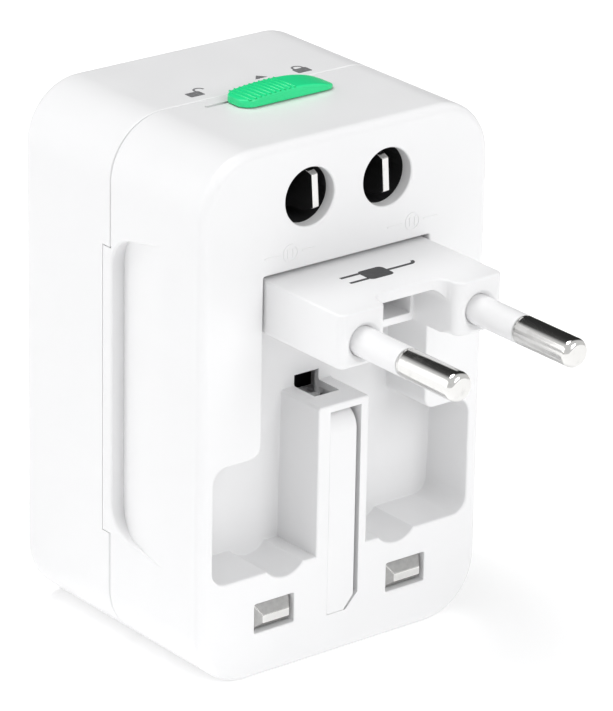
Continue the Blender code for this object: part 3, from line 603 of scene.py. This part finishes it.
def grow(tree, kind, inputs, output=0, settings=None):
    """A geometry node with its settings, then its links and values."""
    node = tree.nodes.new(kind)
    for key, value in (settings or {}).items():
        setattr(node, key, value)
    for key, value in inputs.items():
        if isinstance(value, bpy.types.NodeSocket):
            tree.links.new(value, node.inputs[key])
        else:
            node.inputs[key].default_value = value
    return node.outputs[output]


def sum_of(tree, operation, *terms):
    """A sum on numbers, for a tree that places copies."""
    return grow(tree, "ShaderNodeMath", dict(enumerate(terms)), 0, {"operation": operation})


given = ribs_tree.nodes.new("NodeGroupInput").outputs
line = grow(ribs_tree, "GeometryNodeMeshLine", {"Count": given["Ribs"]})
step_number = grow(ribs_tree, "GeometryNodeInputIndex", {})
along = sum_of(ribs_tree, "MULTIPLY_ADD", step_number, given["Pitch"], given["First"])
away = sum_of(ribs_tree, "SUBTRACT", along, given["Arch middle"])
squared = sum_of(ribs_tree, "MULTIPLY", away, away)
sunk = sum_of(ribs_tree, "DIVIDE", squared, given["Arch radius"])
high = sum_of(ribs_tree, "SUBTRACT", given["Arch top"], sunk)
spot = grow(ribs_tree, "ShaderNodeCombineXYZ", {"X": along, "Y": given["Across"], "Z": high})
placed = grow(ribs_tree, "GeometryNodeSetPosition", {"Geometry": line, "Position": spot})
bar = grow(ribs_tree, "GeometryNodeObjectInfo", {"Object": given["Bar"], "As Instance": True}, "Geometry")
copies = grow(ribs_tree, "GeometryNodeInstanceOnPoints", {"Points": placed, "Instance": bar})
real = grow(ribs_tree, "GeometryNodeRealizeInstances", {"Geometry": copies})
finished = grow(ribs_tree, "GeometryNodeSetMaterial", {"Geometry": real, "Material": given["Finish"]})
ribs_tree.links.new(finished, ribs_tree.nodes.new("NodeGroupOutput").inputs[0])


def grown_piece(name, tree, values):
    """A mesh from a geometry tree, its inputs set by their identifiers first."""
    piece = bpy.data.objects.new(name, bpy.data.meshes.new(name))
    bpy.context.scene.collection.objects.link(piece)
    change = piece.modifiers.new(name, "NODES")
    change.node_group = tree
    for socket, value in values:
        change[socket.identifier] = value
    settle(piece)
    return piece


rib_values = ((sockets["Bar"], rib), (sockets["Finish"], slider_green))
slider_ribs = grown_piece("slider_thumb_ribs", ribs_tree, rib_values)
slider_ribs.data.shade_smooth()
bpy.data.objects.remove(rib)
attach(slider_ribs, "lock")

# ---------------------------------------------------------------------------------------------
# European plug block. White ABS, hinged on two stub pins at its rear, so that it folds flush.
# Two thick bosses carry the pins, with a thin plate between them and a window behind it.

EU_TOP, EU_BOTTOM = 55.9, 48.3
EU_PIVOT_Y = -6.0
EU_FACE, EU_ROOT = -25.2, -16.2
EU_HALF, EU_NOTCH = 13.4, 5.8
EU_PLATE_UNDER = EU_TOP - 1.4
SLEEVE_BORE = 2.03

plan = [(EU_HALF, -2.2, 0), (-EU_HALF, -2.2, 0), (-EU_HALF, EU_FACE, 1.2), (-EU_NOTCH, EU_FACE, 1.5)]
plan += [(-EU_NOTCH, EU_FACE + 3.4, 1.8), (EU_NOTCH, EU_FACE + 3.4, 1.8)]
plan += [(EU_NOTCH, EU_FACE, 1.5), (EU_HALF, EU_FACE, 1.2)]
block_stations = turn(EU_BOTTOM, 1, 0.9, -1, 5) + turn(EU_TOP, -1, 0.35, -1)[::-1]
plug_block = mesh_piece("european_plug_block", loft(filleted(plan, 8), 2, block_stations))
side_view = [(-30, 40), (EU_PIVOT_Y, 40)] + arc((EU_PIVOT_Y, EU_PIVOT_Z), 3.8, -90, 90, 24)
side_view += [(EU_PIVOT_Y, 60), (-30, 60)]
steps = [("INTERSECT", loft(side_view, 0, ((-20, 0), (20, 0))))]
under = [(EU_NOTCH, 40, 0), (EU_NOTCH, EU_PLATE_UNDER, 1.9)]
under += [(-EU_NOTCH, EU_PLATE_UNDER, 1.9), (-EU_NOTCH, 40, 0)]
steps.append(("DIFFERENCE", loft(filleted(under, 8), 1, ((-30, 0), (EU_ROOT, 0)))))
window = rounded((-5.4, 49.3), (5.4, 54.0), 0.25, 3)
steps.append(("DIFFERENCE", opening(window, EU_ROOT + 8.5, EU_ROOT, 1, 0.12)))
for side in (-1, 1):
    steps.append(("DIFFERENCE", bore(side * PIN_X, PIN_Z, SLEEVE_BORE, EU_FACE - 1, EU_FACE + 2)))
    steps.append(("DIFFERENCE", bore(side * PIN_X, PIN_Z, 1.55, EU_FACE - 1, -1)))
    dish = disc(side * PIN_X, PIN_Z, SLEEVE_BORE)
    dished = [(EU_FACE - 1, 0.7), (EU_FACE, 0.7)]
    dished += [(EU_FACE + 0.12, 0.5), (EU_FACE + 0.3, 0.2), (EU_FACE + 0.6, 0)]
    steps.append(("DIFFERENCE", loft(dish, 1, dished)))
    steps.append(("DIFFERENCE", cross_bore(EU_PIVOT_Y, EU_PIVOT_Z, 1.2, side * 11.7, side * 14, 24)))
carve(plug_block, *steps)
smooth(plug_block)
block_abs = moulded("white_plug_abs", (0.79, 0.79, 0.794), (0.77, 0.771, 0.776))
plug_block.data.materials.append(block_abs)
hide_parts("eu_plug_block")
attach(plug_block, "eu_plug")

# ---------------------------------------------------------------------------------------------
# European pins. Turned brass, nickel plated and polished, with a rounded shoulder and a flat end;
# a white sleeve covers the root half, and a thin shank holds each pin in the block.


def turned(name, x, z, profile, segments=64):
    """A turned part from its half profile, given as (place along Y, radius)."""
    bm = bmesh.new()
    rings = []
    for y, radius in profile:
        rings.append([bm.verts.new((a, y, b)) for a, b in disc(x, z, radius, segments)])
    for near, far in zip(rings, rings[1:]):
        for index in range(segments):
            bm.faces.new((near[index - 1], near[index], far[index], far[index - 1]))
    bm.faces.new(rings[0])
    bm.faces.new(rings[-1])
    bmesh.ops.recalc_face_normals(bm, faces=bm.faces)
    return mesh_piece(name, bm)


def plated(name):
    """Polished nickel plate: faint turning marks round the pin, and light scuffs from sockets."""
    finish = Finish(name)
    rings = finish.add("ShaderNodeMapping", None, {"Vector": finish.place, "Scale": (0.2, 9.0, 0.2)})
    turning = finish.noise(900, 2, rings)
    scuffs = finish.steps(finish.noise(700, 5), 0.55, 0.75)
    tone = finish.mix(scuffs, (0.74, 0.735, 0.72, 1), (0.66, 0.655, 0.64, 1))
    rough = 0.1 + scuffs * 0.05 + turning * 0.04
    return finish.set(Base_Color=tone, Roughness=rough, Metallic=1.0, Normal=finish.bump(turning, 0.004, 0.3))


nickel = plated("nickel_plate_polished")
PIN_TIP = -44.2
SLEEVE_END = -33.6
PIN_RADIUS, SHANK_RADIUS, SLEEVE_INSIDE = 2.0, 1.3, 1.45
for side, side_name in ((-1, "left"), (1, "right")):
    nose = [(PIN_TIP, 1.15)]
    for degrees in range(75, -1, -15):
        angle = math.radians(degrees)
        nose.append((PIN_TIP + 1.05 - 1.05 * math.sin(angle), 1.15 + 0.85 * math.cos(angle)))
    body = [(SLEEVE_END - 0.55, PIN_RADIUS), (SLEEVE_END - 0.4, 1.93), (SLEEVE_END - 0.15, 1.93)]
    body += [(SLEEVE_END - 0.15, SHANK_RADIUS), (-2.4, SHANK_RADIUS)]
    pin = turned(f"european_pin_{side_name}", side * PIN_X, PIN_Z, nose + body)
    smooth(pin, 40)
    pin.data.materials.append(nickel)
    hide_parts(f"eu_pin_{side_name}")
    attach(pin, "eu_plug")
    skin = [(-23.4, SLEEVE_INSIDE), (-23.4, PIN_RADIUS), (SLEEVE_END + 0.25, PIN_RADIUS)]
    skin += [(SLEEVE_END + 0.07, 1.93), (SLEEVE_END, 1.8), (SLEEVE_END, SLEEVE_INSIDE)]
    sleeve = turned(f"pin_sleeve_{side_name}", side * PIN_X, PIN_Z, skin)
    smooth(sleeve, 40)
    sleeve.data.materials.append(block_abs)
    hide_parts(f"eu_sleeve_{side_name}")
    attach(sleeve, "eu_plug")

# ---------------------------------------------------------------------------------------------
# Hinge pins. Drawn steel wire, cut and tumbled: two stubs carry the plug block, and one longer
# pin runs through the post for the earth pin.


def drawn_steel(name):
    finish = Finish(name)
    drawn = finish.add("ShaderNodeMapping", None, {"Vector": finish.place, "Scale": (0.2, 5.0, 5.0)})
    lines = finish.noise(800, 3, drawn)
    tone = finish.mix(lines, (0.55, 0.55, 0.56, 1), (0.42, 0.42, 0.43, 1))
    return finish.set(Base_Color=tone, Roughness=0.25 + lines * 0.15, Metallic=1.0)


steel = drawn_steel("drawn_steel")
for name in ("eu_hinge_stub_left", "eu_hinge_stub_right", "earth_hinge_pin"):
    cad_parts[name].data.materials.clear()
    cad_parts[name].data.materials.append(steel)

# ---------------------------------------------------------------------------------------------
# Flat pins. Solid nickel-plated bars with their ends drawn in; they slide out of the face
# together on the carriage behind, and rest with their ends level with it.


def drawn_in(x, tip, taper, half, end_middle, end_half, back):
    """A bar along Y from a box, its front end drawn in to a small flat."""
    bm = block((x - half[0], tip, half[2] - half[1]), (x + half[0], back, half[2] + half[1]))
    geometry = bm.verts[:] + bm.edges[:] + bm.faces[:]
    bmesh.ops.bisect_plane(bm, geom=geometry, plane_co=(0, tip + taper, 0), plane_no=(0, 1, 0))
    for vert in bm.verts:
        if abs(vert.co.y - tip) < 1e-4:
            vert.co.x = end_middle[0] + math.copysign(end_half[0], vert.co.x - x)
            vert.co.z = end_middle[1] + math.copysign(end_half[1], vert.co.z - half[2])
    return bm


def painted_shade_nickel(name):
    """Nickel plate darkened to a grey as painted shade on the tapers and flanks: a speckled copy, rougher than
    the polished ends.
    """
    finish = Finish(name)
    speckle = finish.noise(1500, 4)
    tone = finish.mix(speckle, (0.30, 0.30, 0.295, 1), (0.46, 0.455, 0.45, 1))
    rough = 0.3 + speckle * 0.15
    return finish.set(Base_Color=tone, Roughness=rough, Metallic=1.0, Normal=finish.bump(speckle, 0.012, 0.5))


# A darker grey copy of the nickel plate, painted shade for the pins' tapers and flanks.
shaded_nickel_copy = painted_shade_nickel("nickel_plate_painted_shade")
FLAT_PIN_Z = 8.6
for side, side_name in ((-1, "left"), (1, "right")):
    x = side * FLAT_PIN_X
    end_middle = (x + 0.35, FLAT_PIN_Z - 0.4)
    bar = drawn_in(x, FRONT + 0.05, 1.0, (3.175, 1.95, FLAT_PIN_Z), end_middle, (2.2, 0.52), FRONT + 23.9)
    flat_pin = mesh_piece(f"flat_pin_{side_name}", bar)
    smooth(flat_pin, 25, 0.14)
    flat_pin.data.materials.append(shaded_nickel_copy)
    flat_pin.data.materials.append(nickel)
    # The front-facing end faces take the polished nickel, and every other face takes the darker copy painted as
    # shade.
    for face in flat_pin.data.polygons:
        face.material_index = 1 if face.normal.y < -0.9 else 0
    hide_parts(f"uk_pin_{side_name}")
    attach(flat_pin, "uk_pins")

# ---------------------------------------------------------------------------------------------
# Folding earth pin. White plastic bar in the post's slot, its hinge end rounded, its free end
# chamfered, level with the face when folded and swung out for use.

EARTH_RADIUS = 3.8
EARTH_LEFT, EARTH_RIGHT, EARTH_FOOT = -2.29, 2.2, 5.93
top = EARTH_Z + EARTH_RADIUS
side_view = [(FRONT + 7.6, 7.2, 0), (FRONT + 7.6, top, 3.0), (FRONT, top, 2.9)]
side_view += [(FRONT, EARTH_FOOT, 0.1), (FRONT + 6.4, EARTH_FOOT, 0.1)]
front_view = [(EARTH_LEFT, EARTH_FOOT), (0.45, EARTH_FOOT), (EARTH_RIGHT, 7.95)]
front_view += [(EARTH_RIGHT, top + 1), (EARTH_LEFT, top + 1)]
earth_stations = turn(EARTH_LEFT, 1, 0.06, -1) + turn(EARTH_RIGHT, -1, 0.15, -1)[::-1]
earth_pin = mesh_piece("folding_earth_pin", loft(filleted(side_view, 10), 0, earth_stations))
carve(earth_pin, ("INTERSECT", loft(front_view, 1, ((FRONT - 1, 0), (FRONT + 9, 0)))))
carve(earth_pin, ("DIFFERENCE", cross_bore(FRONT + EARTH_RADIUS, EARTH_Z, HINGE_BORE, -3, 3)))
smooth(earth_pin)
earth_pin.data.materials.append(block_abs)
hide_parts("uk_earth_pin")
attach(earth_pin, "uk_earth")

# ---------------------------------------------------------------------------------------------
# Blades. Stamped brass, nickel plated, with their tips drawn in. Each sits loosely in a round
# rotor that lets it turn, so its end stands a little askew and off the middle of its hole.

BLADE_HELD_Y, BLADE_SUNK = 13.9, 0.8
for side, side_name, play in ((-1, "left", (1.48, 0.26)), (1, "right", (0.36, 0.04))):
    x = side * BLADE_X
    held = Vector((x, BLADE_HELD_Y, BLADE_Z))
    reach = BLADE_HELD_Y - FRONT - BLADE_SUNK
    set_in = Matrix.Translation(held) @ Matrix.Rotation(play[0] / reach, 4, "Z")
    set_in = set_in @ Matrix.Rotation(-play[1] / reach, 4, "X")
    set_in = set_in @ Matrix.Rotation(math.radians(-3.8), 4, "Y") @ Matrix.Translation(-held)
    bar = drawn_in(x, FRONT + BLADE_SUNK, 1.8, (0.75, 3.1, BLADE_Z), (x, BLADE_Z), (0.5, 2.3), 18.7)
    bmesh.ops.transform(bar, matrix=set_in, verts=bar.verts)
    blade = mesh_piece(f"turning_blade_{side_name}", bar)
    smooth(blade, 20, 0.1)
    blade.data.materials.append(nickel)
    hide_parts(f"us_blade_{side_name}")
    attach(blade, f"us_blade_{side_name}")

# ---------------------------------------------------------------------------------------------
# Screws. Zinc-plated steel with pan heads and a cross recess, cut with rings for a thread. Four
# hold each module's lid to its bosses.


def screw_pattern():
    """One screw, drawn at the origin with its head's top at nought and its point along Y."""
    profile = [(0.0, 0.9), (0.06, 1.3), (0.2, 1.65), (0.45, 1.9), (0.8, 2.0), (1.35, 2.0), (1.4, 1.95)]
    profile += [(1.4, 0.9)]
    for pitch in range(9):
        start = 1.7 + pitch * 0.8
        profile += [(start, 0.7), (start + 0.25, 0.9), (start + 0.35, 0.9), (start + 0.6, 0.7)]
    profile += [(9.0, 0.6), (9.4, 0.25)]
    screw = turned("screw_pattern", 0, 0, profile, 20)
    cross = [("DIFFERENCE", block((-1.4, -1, -0.25), (1.4, 0.8, 0.25)))]
    cross.append(("DIFFERENCE", block((-0.25, -1, -1.4), (0.25, 0.8, 1.4))))
    carve(screw, *cross)
    smooth(screw, 40)
    return screw


screw = screw_pattern()
screw_tree = bpy.data.node_groups.new("screws_at_spots", "GeometryNodeTree")
screw_inputs = {}
for label, kind, value in (
    ("Upper half width", "NodeSocketFloat", 17.5 * MM),
    ("Lower half width", "NodeSocketFloat", 18.3 * MM),
    ("Upper height", "NodeSocketFloat", 64.5 * MM),
    ("Lower height", "NodeSocketFloat", 8.6 * MM),
    ("Head place", "NodeSocketFloat", 0.0),
    ("Turn", "NodeSocketFloat", 0.0),
):
    screw_inputs[label] = screw_tree.interface.new_socket(name=label, in_out="INPUT", socket_type=kind)
    screw_inputs[label].default_value = value
for label, kind in (("Screw", "NodeSocketObject"), ("Finish", "NodeSocketMaterial")):
    screw_inputs[label] = screw_tree.interface.new_socket(name=label, in_out="INPUT", socket_type=kind)
screw_tree.interface.new_socket(name="Geometry", in_out="OUTPUT", socket_type="NodeSocketGeometry")
given = screw_tree.nodes.new("NodeGroupInput").outputs
number = grow(screw_tree, "GeometryNodeInputIndex", {})
row = sum_of(screw_tree, "GREATER_THAN", number, 1.5)
column = sum_of(screw_tree, "MODULO", number, 2.0)
which_side = sum_of(screw_tree, "MULTIPLY_ADD", column, 2.0, -1.0)
half = grow(screw_tree, "ShaderNodeMix", {0: row, 2: given["Upper half width"], 3: given["Lower half width"]})
level = grow(screw_tree, "ShaderNodeMix", {0: row, 2: given["Upper height"], 3: given["Lower height"]})
across = sum_of(screw_tree, "MULTIPLY", which_side, half)
spot = grow(screw_tree, "ShaderNodeCombineXYZ", {"X": across, "Y": given["Head place"], "Z": level})
points = grow(screw_tree, "GeometryNodeMeshLine", {"Count": 4})
points = grow(screw_tree, "GeometryNodeSetPosition", {"Geometry": points, "Position": spot})
pattern = grow(screw_tree, "GeometryNodeObjectInfo", {"Object": given["Screw"], "As Instance": True}, "Geometry")
facing = grow(screw_tree, "ShaderNodeCombineXYZ", {"Z": given["Turn"]})
placed = {"Points": points, "Instance": pattern, "Rotation": facing}
copies = grow(screw_tree, "GeometryNodeInstanceOnPoints", placed)
real = grow(screw_tree, "GeometryNodeRealizeInstances", {"Geometry": copies})
finished = grow(screw_tree, "GeometryNodeSetMaterial", {"Geometry": real, "Material": given["Finish"]})
screw_tree.links.new(finished, screw_tree.nodes.new("NodeGroupOutput").inputs[0])

for module, head_place, facing_turn in (("plug_module", 9.5, math.pi), ("socket_module", 10.7, 0.0)):
    values = (
        (screw_inputs["Head place"], head_place * MM),
        (screw_inputs["Turn"], facing_turn),
        (screw_inputs["Screw"], screw),
        (screw_inputs["Finish"], steel),
    )
    screws = grown_piece(f"{module}_screws", screw_tree, values)
    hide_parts(*[f"{module}_screw_{number}" for number in (1, 2, 3, 4)])
    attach(screws, module)
bpy.data.objects.remove(screw)

# ---------------------------------------------------------------------------------------------
# Markings. Pad-printed signs in place of words: an open padlock, a pointer and a closed padlock
# behind the slider, and a plug on the folding block; two raised signs stand under the blade holes.


def ink(name, colour, worn):
    """Printing ink, faintly speckled where the plastic's grain shows through."""
    finish = Finish(name)
    speckle = finish.steps(finish.noise(2600, 3), 0.5, 0.8)
    tone = finish.mix(speckle, (*colour, 1), (*worn, 1))
    return finish.set(Base_Color=tone, Roughness=0.5)


def stroke(start, end, width):
    """A straight bar with square ends, as an outline."""
    along = (Vector(end) - Vector(start)).normalized() * (width / 2)
    beside = Vector((-along.y, along.x))
    first, last = Vector(start), Vector(end)
    return [tuple(first - beside), tuple(last - beside), tuple(last + beside), tuple(first + beside)]


def band(centre, radius, width, start, end):
    """A bent bar, as an outline."""
    outer = arc(centre, radius + width / 2, start, end, 14)
    return outer + arc(centre, radius - width / 2, end, start, 14)


def padlock(x, y, lifted, size):
    """A padlock's body and shackle; a lifted shackle stands open to one side."""
    body = [rounded((x - 1.15 * size, y - 1.5 * size), (x + 1.15 * size, y + 0.1 * size), 0.2 * size, 3)]
    shackle_x = x + (1.45 * size if lifted else 0)
    reach = 0.35 * size
    body.append(band((shackle_x, y + reach), 0.72 * size, 0.3 * size, 0, 180))
    for way in (-1, 1):
        if not (lifted and way > 0):
            foot = (shackle_x + way * 0.72 * size, y)
            body.append(stroke(foot, (foot[0], y + reach + 0.02), 0.3 * size))
    return body


def sign(name, outlines, axis, low, high, finish, body_name, slot_name):
    """Flat shapes of one sign, given a little thickness and joined into one piece."""
    whole = bmesh.new()
    for outline in outlines:
        bm = loft(outline, axis, ((low, 0), (high, 0)))
        shape = bpy.data.meshes.new("shape")
        bm.to_mesh(shape)
        bm.free()
        whole.from_mesh(shape)
        bpy.data.meshes.remove(shape)
    piece = mesh_piece(name, whole)
    piece.data.materials.append(finish)
    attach(piece, body_name)


grey_ink = ink("grey_pad_ink", (0.16, 0.16, 0.165), (0.30, 0.30, 0.31))
black_ink = ink("black_pad_ink", (0.022, 0.022, 0.024), (0.05, 0.05, 0.052))
top = (HEIGHT - 0.02, HEIGHT + 0.02)
sign("mark_open_padlock", padlock(-8.2, 13.0, True, 1.0), 2, *top, grey_ink, "socket_module", "black_nylon")
sign("mark_closed_padlock", padlock(9.3, 12.7, False, 1.0), 2, *top, grey_ink, "socket_module", "black_nylon")
pointer = [(1.9, 12.5), (3.9, 12.5), (2.9, 13.7)]
sign("mark_pointer", [pointer], 2, *top, grey_ink, "socket_module", "black_nylon")
plug = [rounded((-2.2, -17.35), (1.8, -14.15), 0.7, 5), stroke((-5.2, -16.75), (-2.2, -16.75), 0.5)]
plug += [stroke((-5.2, -14.75), (-2.2, -14.75), 0.5), stroke((1.8, -15.75), (5.6, -15.75), 0.5)]
plug.append(band((5.6, -14.95), 0.8, 0.5, -90, 0))
sign("mark_round_pin_plug", plug, 2, EU_TOP - 0.02, EU_TOP + 0.015, black_ink, "eu_plug", "black_nylon")
face = (FRONT - 0.07, FRONT + 0.05)
for middle, sign_name in ((-9.4, "left"), (10.7, "right")):
    shapes = [band((middle, 58.8), 1.15, 0.22, 0, 360)]
    shapes += [stroke((middle + way * 0.42, 58.2), (middle + way * 0.42, 59.4), 0.24) for way in (-1, 1)]
    shapes += [stroke((middle + way * 4.2, 58.8), (middle + way * 1.8, 58.8), 0.2) for way in (-1, 1)]
    sign(f"raised_blade_sign_{sign_name}", shapes, 1, *face, white_abs, "plug_module", "white_abs")

# ---------------------------------------------------------------------------------------------
# Stage. A pale floor, soft lights at the adapter's left, before it and over it, and a pale room
# with a dark patch high behind on the right. A long lens looks down on its front left corner.

floor = mesh_piece("floor", block((-900, -900, -2.0), (900, 900, -0.05)))
floor_finish = Finish("pale_floor")
floor_cloud = floor_finish.noise(3, 2)
floor_tone = floor_finish.mix(floor_cloud, (0.93, 0.93, 0.93, 1), (0.95, 0.95, 0.95, 1))
floor_finish.set(Base_Color=floor_tone, Roughness=0.9)
floor_made = floor_finish.set(Emission_Color=floor_tone, Emission_Strength=0.27)
floor.data.materials.append(floor_made)

world = bpy.data.worlds.new("soft_room")
bpy.context.scene.world = world
world.use_nodes = True
room = world.node_tree
facing = room.nodes.new("ShaderNodeTexCoord").outputs["Generated"]
towards = room.nodes.new("ShaderNodeVectorMath")
towards.operation = "DOT_PRODUCT"
towards.inputs[1].default_value = Vector((0.42, 0.70, 0.58)).normalized()
room.links.new(facing, towards.inputs[0])
shade = room.nodes.new("ShaderNodeValToRGB")
shade.color_ramp.elements[0].position = 0.62
shade.color_ramp.elements[0].color = (0.74, 0.74, 0.743, 1)
shade.color_ramp.elements[1].position = 0.80
shade.color_ramp.elements[1].color = (0.03, 0.03, 0.03, 1)
room.links.new(towards.outputs["Value"], shade.inputs["Fac"])
room.links.new(shade.outputs["Color"], room.nodes["Background"].inputs["Color"])
room.nodes["Background"].inputs["Strength"].default_value = 1.0


def softbox(name, place, aim, size, power):
    """A square soft light, its face turned to a point."""
    light = bpy.data.lights.new(name, "AREA")
    light.size = size
    light.energy = power
    lamp = bpy.data.objects.new(name, light)
    lamp.location = place
    lamp.rotation_euler = (Vector(aim) - Vector(place)).to_track_quat("-Z", "Y").to_euler()
    bpy.context.scene.collection.objects.link(lamp)


softbox("left_light", (-0.8, 0.42, 0.22), (0, 0, 0.035), 0.7, 1.35)
softbox("front_light", (0.1, -0.95, 0.62), (0, 0, 0.035), 0.6, 3.9)
softbox("top_light", (-0.2, 0.3, 0.95), (0, 0, 0.035), 0.45, 4.4)

LENS_DISTANCE = 0.62827
aim = Vector((0.0, 5.2, 35.0)) * MM
turned_by, raised_by, rolled_by = math.radians(-38.26), math.radians(22.15), math.radians(0.91)
level = math.cos(raised_by)
back = Vector((math.sin(turned_by) * level, -math.cos(turned_by) * level, math.sin(raised_by)))
right = Vector((math.cos(turned_by), math.sin(turned_by), 0))
up = back.cross(right)
across = right * math.cos(rolled_by) + up * math.sin(rolled_by)
above = -right * math.sin(rolled_by) + up * math.cos(rolled_by)
lens = bpy.data.cameras.new("camera")
camera = bpy.data.objects.new("camera", lens)
bpy.context.scene.collection.objects.link(camera)
stand = aim + back * LENS_DISTANCE
camera.matrix_world = Matrix.Translation(stand) @ Matrix((across, above, back)).transposed().to_4x4()
lens.lens = 239.37
lens.sensor_width = 36
lens.shift_x = 0.0458
lens.shift_y = 0.0256
lens.clip_end = 10
bpy.context.scene.camera = camera
bpy.context.scene.view_settings.view_transform = "Standard"
